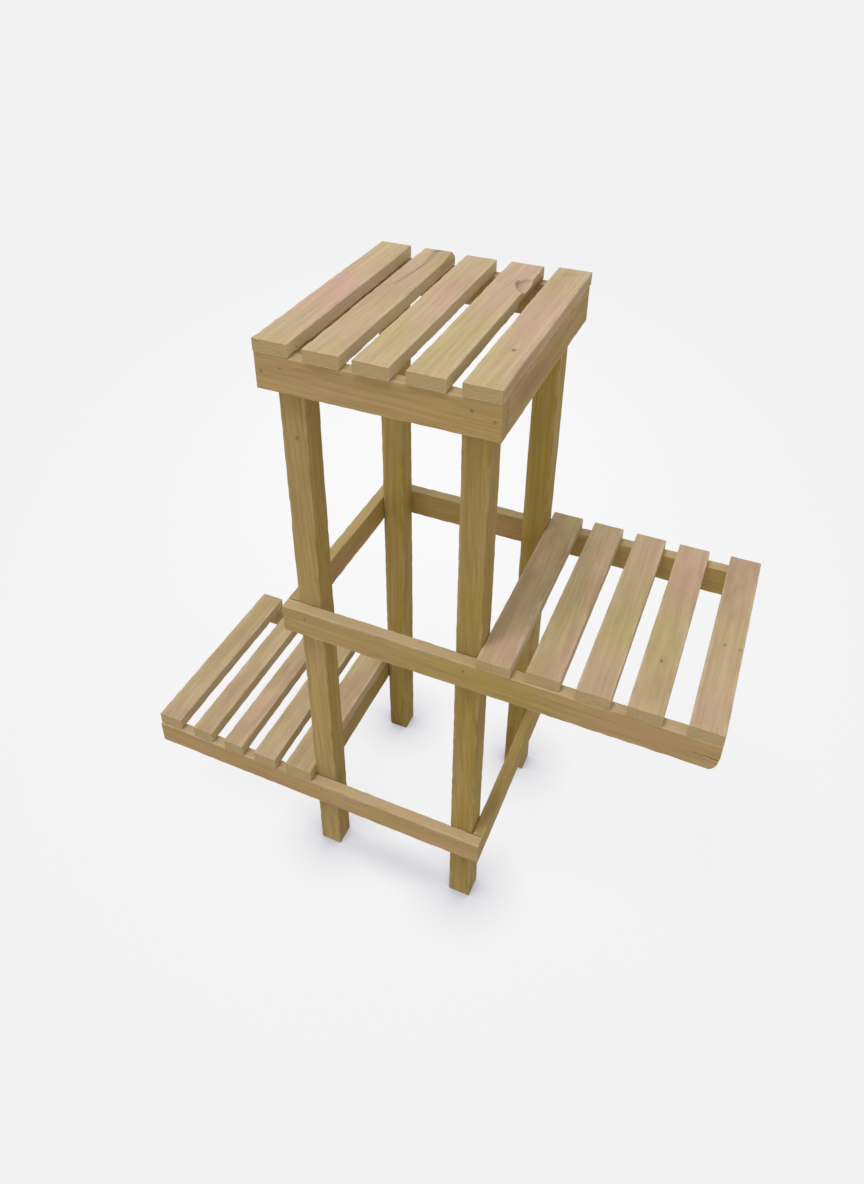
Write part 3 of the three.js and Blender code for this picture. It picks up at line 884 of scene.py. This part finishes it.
def makeBoard(name, index, heads):
    # One board from its CAD piece's box: its rounded outline swept from end to end, worn and
    # marked, with what the wood needs written at every point. Gives its count of triangles.
    shape = boardShape
    rng = np.random.default_rng(100 + index)
    lo, hi = boxOf(name)
    across, thick, grain, handed = boardAxes(lo, hi)
    axes = (across, thick, grain)
    half = (hi - lo)[[across, thick]] / 2
    length = (hi - lo)[grain]
    marks = boardMarks.get(name, {})
    slot = slotOf(name)

    nails = [toBoard(head, lo, hi, axes) for head, axis in heads
             if (head > lo).all() and (head < hi).all() and axis != grain]
    fine, inside = nailDent["fineReach"], half - 2 * mm
    fineWidth = [(x[0] + half[0], fine) for x in nails if abs(x[0]) < inside[0]]
    fineThick = [(x[1] + half[1], fine) for x in nails if abs(x[1]) < inside[1]]
    fineAlong = [(x[2], fine) for x in nails]
    if "hollow" in marks:
        reach = marks["hollow"]["radii"]
        fineWidth.append((2 * half[0] - reach[0] * mm / 2, 8 * mm))
        fineThick.append((2 * half[1] - reach[1] * mm / 2, 7 * mm))
        fineAlong.append((length - marks["hollow"]["fromEnd"] * mm, 18 * mm))
    if "broken" in marks:
        fineWidth.append((0, 14 * mm))
        fineAlong.append((length, 18 * mm))
    if "crack" in marks:
        fineWidth.append((marks["crack"]["aside"] * mm, 3 * mm))

    step = shape["step"] * (0.6 if marks else 1)
    signs, normals, weights, edge = sectionOutline(half, fineWidth, fineThick, step)
    at, inset, share, cap = stationRows(length, fineAlong, step)
    roundabout = np.linspace(0, 1, len(signs), endpoint=False)
    radii = wornRadii(rng, at, length, marks.get("worn", [])) @ weights.T
    points = np.empty((len(at), len(signs), 3))
    flat = signs[None] * (half - radii[..., None])
    points[..., :2] = flat + normals * (radii - inset[:, None])[..., None]
    points[..., 2] = at[:, None]

    depth = shape["planed"] * smoothstep(
        waves(rng, at, roundabout, 30 * mm, 320 * mm, 4), -1.8, 1.8)
    for _ in range(shape["dents"]):
        spot = points[rng.integers(len(at)), rng.integers(len(signs))]
        distance = np.linalg.norm(points - spot, axis=-1)
        depth += (shape["dentDepth"] * rng.uniform(0.3, 1)
                  * np.exp(-((distance / rng.uniform(*shape["dentRadius"])) ** 2)))
    for spot in nails:
        distance = np.linalg.norm(points - spot, axis=-1)
        depth += nailDent["depth"] * (1 - smoothstep(distance, nailDent["flat"], nailDent["rim"]))
    crack = np.zeros(depth.shape)
    if "crack" in marks:
        crack = openCrack(points, normals, marks["crack"], half, length)
        depth += crackShape["depth"] * crack
    points[..., :2] -= normals[None] * depth[..., None]
    points[..., :2] *= share[:, None, None]

    lean = rng.uniform(-1, 1, (2, 2))
    tilt = (points[..., :2] / half) @ lean.T / 2
    rough = shape["slant"] * np.stack([1 + tilt[..., 0], 1 + tilt[..., 1]]) / 2
    endNoise = shape["endRough"] * (1 + waves(rng, at, roundabout, 3 * mm, 9 * mm, 9) / 2)
    points[..., 2] += np.clip(-cap, 0, 1)[:, None] * (rough[0] + endNoise)
    points[..., 2] -= np.clip(cap, 0, 1)[:, None] * (rough[1] + endNoise)

    scar = np.zeros(points.shape)
    if "log" in marks:
        scar[..., 0] = trimToLog(points, marks["log"], half, length, rng)
    if "hollow" in marks:
        scar[..., 1] = sinkHollow(points, marks["hollow"], half, length)
    if "broken" in marks:
        scar[..., 2] = breakCorner(points, marks["broken"], half, length)

    knots = [(faceSpot(face, along, aside, lo, hi, axes), radius * mm)
             for face, along, aside, radius in marks.get("knots", [])]
    patches = boardPatches.get(name, []) + randomPatches(rng, 0.35)
    stainAndSideLight = boardStains(points, marks.get("stains", []), lo, hi, axes)
    # Painted light: marks the narrow side faces of the board to be painted paler
    stainAndSideLight[..., 2] = byName(paintedSideLightByBoard, name) * (np.abs(normals[:, 0]) > 0.7)
    fields = {
        "grain": grainPlace(points, rng, slot, knots, index),
        "tint": boardTint(points, name, length, half, patches),
        "knot": knotPlace(points, knots),
        "scar": scar,
        "edge": np.tile(edge, (len(at), 1)),
        "cap": np.tile(np.abs(cap)[:, None], (1, len(signs))),
        "crack": crack,
        "stainAndSideLight": stainAndSideLight,
    }
    placed = withPoles(points)
    world = np.empty_like(placed)
    world[:, [across, thick]] = placed[:, :2] + (lo + hi)[[across, thick]] / 2
    world[:, grain] = placed[:, 2] + lo[grain]
    quads, fans = closedLoft(points, handed)
    board = newPiece(name + "_board", world, quads, fans, woods[slot])
    for label, values in fields.items():
        writeAttribute(board, label, withPoles(values))
    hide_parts(name)
    return len(quads) * 2 + len(fans)


heads = nailHeads()
boards = sorted(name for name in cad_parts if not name.startswith("nail_"))
triangles = sum(makeBoard(name, index, heads) for index, name in enumerate(boards))
print("boards made:", len(boards), "with", triangles, "triangles")


nailLook = {
    "steel": tone(160, 136, 102), "rust": tone(144, 110, 68), "dark": tone(132, 106, 74),
    "metallic": 0.2, "roughness": (0.42, 0.85), "bumpDepth": 0.1 * mm,
}


def nailMaterial():
    # Dull wire-nail steel, darkened in patches and rusty in spots
    material = bpy.data.materials.new("nailSteel")
    tree = emptyTree(material)
    place = put(tree, "TexCoord", {}).outputs["Object"]
    dark = smoothRange(tree, speckle(tree, place, "steelDark"), 0.35, 0.65)
    rust = smoothRange(tree, speckle(tree, place, "steelRust"), 0.5, 0.66)
    colour = mixed(tree, dark, nailLook["steel"], nailLook["dark"])
    colour = mixed(tree, rust, colour, nailLook["rust"])
    metallic = maths(tree, "MULTIPLY", maths(tree, "SUBTRACT", 1.0, rust), nailLook["metallic"])
    roughness = smoothRange(tree, rust, 0.0, 1.0, *nailLook["roughness"])
    bump = put(tree, "Bump", {"Strength": 0.4, "Distance": nailLook["bumpDepth"], "Height": rust})
    shader = put(tree, "BsdfPrincipled", {
        "Base Color": colour, "Metallic": metallic, "Roughness": roughness,
        "Normal": bump.outputs[0]})
    put(tree, "OutputMaterial", {"Surface": shader.outputs[0]})
    return material


steel = nailMaterial()
for name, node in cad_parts.items():
    if name.startswith("nail_"):
        node.data.materials.clear()
        node.data.materials.append(steel)
print("nails finished")


bradShape = {
    "sides": 10, "headRadius": 0.9 * mm, "headThickness": 0.8 * mm, "shankRadius": 0.6 * mm,
    "length": 34 * mm, "point": 2 * mm, "pointRadius": 0.35 * mm,
    "below": 0.12 * mm,  # from the wood's face down to the head
    "rim": 0.1 * mm, "flatShare": 0.8,  # the worn rim of the head, and the flat inside it
    "fromEdge": 0.26,    # from the slat's edge, as a share of its width
}

# The top's extra corner brads that the photograph shows: face, board, place along it and height
cornerBrads = [("front", "top_rail_front", 4.2, 852.9), ("right", "top_side_right", 293, 891.5)]


def makeBrads(name, places, ways):
    # A brad is a profile of radius against depth turned round its line. The whole set is one
    # array: the points of one brad, turned to face each way, plus the places of the heads.
    shape = bradShape
    profile = np.array([
        (shape["pointRadius"], -shape["length"]),
        (shape["shankRadius"], shape["point"] - shape["length"]),
        (shape["shankRadius"], -shape["headThickness"]),
        (shape["headRadius"], -shape["headThickness"] / 2),
        (shape["headRadius"], -shape["rim"]),
        (shape["headRadius"] * shape["flatShare"], 0),
    ])
    angle = np.linspace(0, 2 * np.pi, shape["sides"], endpoint=False)
    ring = np.stack([np.cos(angle), np.sin(angle)], -1)
    one = np.empty((len(profile), shape["sides"], 3))
    one[..., :2] = profile[:, None, :1] * ring[None]
    one[..., 2] = profile[:, 1:]
    single = withPoles(one)
    ways = np.array(ways, float)
    aside = np.where(np.abs(ways[:, :1]) > 0.5, [[0, 1, 0]], [[1, 0, 0]]).astype(float)
    turned = np.stack([aside, np.cross(ways, aside), ways], 1)
    points = single @ turned + (np.array(places) - shape["below"] * ways)[:, None]
    quads, fans = closedLoft(one, 1)
    starts = (np.arange(len(places)) * len(single))[:, None, None]
    newPiece(name, points.reshape(-1, 3), (quads[None] + starts).reshape(-1, 4),
             (fans[None] + starts).reshape(-1, 3), steel)
    return len(places)


def slatBrads(shelf):
    # Two brads through each slat into each of the two rails below it
    places = []
    for rail in ("front", "back"):
        railLo, railHi = boxOf(f"{shelf}_rail_{rail}")
        for number in range(1, 6):
            lo, hi = boxOf(f"{shelf}_slat_{number}")
            for share in (bradShape["fromEdge"], 1 - bradShape["fromEdge"]):
                places.append((lo[0] + (hi[0] - lo[0]) * share, (railLo[1] + railHi[1]) / 2, hi[2]))
    return makeBrads(f"{shelf}_brads", places, [(0, 0, 1)] * len(places))


def topCornerBrads():
    # The extra brads at the top's corners, each on its board's face
    places, ways = [], []
    for face, board, along, height in cornerBrads:
        lo, hi = boxOf(board)
        axis, way = faceSides[face]
        place = lo + along * mm
        place[axis] = hi[axis] if way > 0 else lo[axis]
        place[2] = height * mm
        places.append(place)
        ways.append(np.eye(3)[axis] * way)
    return makeBrads("corner_brads", places, ways)


bradCount = sum(slatBrads(shelf) for shelf in ("top", "right_shelf", "left_shelf"))
bradCount += topCornerBrads()
print("brads made:", bradCount)

floorLook = {
    # The glow is a painted pool of light on the shown floor round the stand
    "size": 60.0, "seen": tone(242, 242, 243), "glow": tone(251, 251, 252),
    "glowPlace": (-0.42, 0.92, 0.0), "glowReach": (1.0, 1.5, 1.0), "glowEnd": 1.3,
    "bounce": tone(203, 197, 173),
    "shadow": tone(182, 182, 194), "shadowReach": 0.09, "shadowDepth": 2.0,
    "shadowShare": 0.08,  # how much of the shown floor is lit, and so takes the wide shadows
    # The low rail's shade: its strength, its reach and how far it lies behind the legs' front
    "railShade": 0.5, "railShadeReach": 27 * mm, "railShadeShift": 8 * mm,
}
lampLook = {
    "keySide": (0.86, 0.86, 0.86, 1), "farSide": (0.42, 0.38, 0.29, 1), "domeStrength": 0.86,
    "keyFrom": (-0.20, -0.20, 0.92), "keySpread": (-0.5, 1.0),
    "sunStrength": 1.0, "sunAngle": 17.0, "sunFrom": (-0.20, -0.34, 1.0),
    "sunColour": (1, 0.985, 0.96),
}
cameraView = {
    "place": (0.38167, -0.91454, 1.35200), "azimuth": 23.817, "elevation": 33.680,
    "lens": 27.674, "sensor": 36.0, "shift": (0.00853, -0.11007),
    "clip": (0.05, 200),
}


def seenDirectly(tree):
    # 1 for what the camera sees directly, by reflection or through glass
    path = put(tree, "LightPath", {}).outputs
    total = maths(tree, "ADD", path["Is Camera Ray"], path["Is Glossy Ray"])
    return maths(tree, "ADD", total, path["Is Transmission Ray"], clamp=True)


def railShade(tree, place):
    # The soft shade of the low front rail on the floor between the two front feet: a bell of the
    # distance from the line below it, a little behind, because the light leans from the front
    left, right = (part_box(f"leg_front_{side}") for side in ("left", "right"))
    line = (right[0][0] - left[1][0]) / 2
    middle = ((right[0][0] + left[1][0]) / 2, left[0][1] + floorLook["railShadeShift"], 0)
    away = vectorMaths(tree, "ABSOLUTE", vectorMaths(tree, "SUBTRACT", place, middle))
    away = vectorMaths(tree, "SUBTRACT", away, (line, 0, 0))
    away = vectorMaths(tree, "MAXIMUM", away, (0, 0, 0))
    away = maths(tree, "DIVIDE", vectorMaths(tree, "LENGTH", away), floorLook["railShadeReach"])
    bell = maths(tree, "EXPONENT", maths(tree, "MULTIPLY", maths(tree, "POWER", away, 2.0), -1.0))
    return maths(tree, "MULTIPLY", bell, floorLook["railShade"])


def makeFloor():
    # A wide pale floor. What is seen is mostly its own plain colour, with a painted pool of light
    # round the stand, painted shade close round the feet by how much of the sky they hide within a
    # short reach, and the painted shade of the low front rail. A share of it takes the wide soft
    # shadows. What bounces up is duller and warmer.
    half = floorLook["size"] / 2
    mesh = bpy.data.meshes.new("floor")
    mesh.from_pydata([(-half, -half, 0), (half, -half, 0), (half, half, 0), (-half, half, 0)],
                     [], [(0, 1, 2, 3)])
    floor = bpy.data.objects.new("floor", mesh)
    bpy.context.scene.collection.objects.link(floor)
    material = bpy.data.materials.new("paleFloor")
    tree = emptyTree(material)
    seen = seenDirectly(tree)
    colour = mixed(tree, seen, floorLook["bounce"], floorLook["seen"])
    lit = put(tree, "BsdfDiffuse", {"Color": colour}).outputs[0]
    place = put(tree, "TexCoord", {}).outputs["Object"]
    # A painted pool of light: the shown floor is painted paler towards the middle of the stand
    turn = (0, 0, math.radians(cameraView["azimuth"]))
    spread = put(tree, "Mapping", {"Vector": place, "Location": floorLook["glowPlace"],
                                   "Rotation": turn, "Scale": floorLook["glowReach"]},
                 vector_type="TEXTURE").outputs[0]
    glow = vectorMaths(tree, "LENGTH", spread)
    glow = smoothRange(tree, glow, 0.0, floorLook["glowEnd"], 1.0, 0.0)
    shown = mixed(tree, glow, floorLook["seen"], floorLook["glow"])
    sky = put(tree, "AmbientOcclusion", {"Distance": floorLook["shadowReach"]}, samples=8)
    hidden = maths(tree, "SUBTRACT", 1.0, sky.outputs["AO"])
    hidden = maths(tree, "MULTIPLY", hidden, floorLook["shadowDepth"], clamp=True)
    hidden = maths(tree, "MAXIMUM", hidden, railShade(tree, place))
    shown = mixed(tree, hidden, shown, floorLook["shadow"])
    plain = put(tree, "Emission", {"Color": shown, "Strength": 1.0}).outputs[0]
    share = maths(tree, "MULTIPLY", seen, 1 - floorLook["shadowShare"])
    surface = put(tree, "MixShader", {0: share, 1: lit, 2: plain}).outputs[0]
    put(tree, "OutputMaterial", {"Surface": surface})
    mesh.materials.append(material)


def makeLight():
    # A dome that is bright overhead towards the front left and dim and warm far from it, by the
    # angle to the key direction, and a soft sun from the same side
    world = bpy.data.worlds.new("softRoom")
    bpy.context.scene.world = world
    tree = emptyTree(world)
    seen = seenDirectly(tree)
    key = np.array(lampLook["keyFrom"])
    key = tuple(float(x) for x in key / np.linalg.norm(key))
    towards = put(tree, "TexCoord", {}).outputs["Generated"]
    facing = put(tree, "VectorMath", {0: towards, 1: key}, operation="DOT_PRODUCT")
    share = smoothRange(tree, facing.outputs["Value"], *lampLook["keySpread"])
    light = mixed(tree, share, lampLook["farSide"], lampLook["keySide"])
    room = put(tree, "Background", {"Color": light, "Strength": lampLook["domeStrength"]})
    pale = put(tree, "Background", {"Color": floorLook["seen"], "Strength": 1.0})
    surface = put(tree, "MixShader", {0: seen, 1: room.outputs[0], 2: pale.outputs[0]}).outputs[0]
    put(tree, "OutputWorld", {"Surface": surface})
    lamp = bpy.data.lights.new("softSun", "SUN")
    lamp.energy = lampLook["sunStrength"]
    lamp.angle = math.radians(lampLook["sunAngle"])
    lamp.color = lampLook["sunColour"]
    sun = bpy.data.objects.new("softSun", lamp)
    x, y, z = lampLook["sunFrom"]
    sun.rotation_euler = (math.atan2(math.hypot(x, y), z), 0, math.atan2(x, -y))
    bpy.context.scene.collection.objects.link(sun)


def makeCamera():
    # The view of the photograph
    data = bpy.data.cameras.new("photographView")
    data.lens = cameraView["lens"]
    data.sensor_width = cameraView["sensor"]
    data.shift_x, data.shift_y = cameraView["shift"]
    data.clip_start, data.clip_end = cameraView["clip"]
    camera = bpy.data.objects.new("photographView", data)
    camera.location = cameraView["place"]
    camera.rotation_euler = (math.radians(90 - cameraView["elevation"]), 0,
                             math.radians(cameraView["azimuth"]))
    bpy.context.scene.collection.objects.link(camera)
    bpy.context.scene.camera = camera


makeFloor()
makeLight()
makeCamera()
bpy.context.scene.view_settings.view_transform = "Standard"
print("floor, light and camera ready")
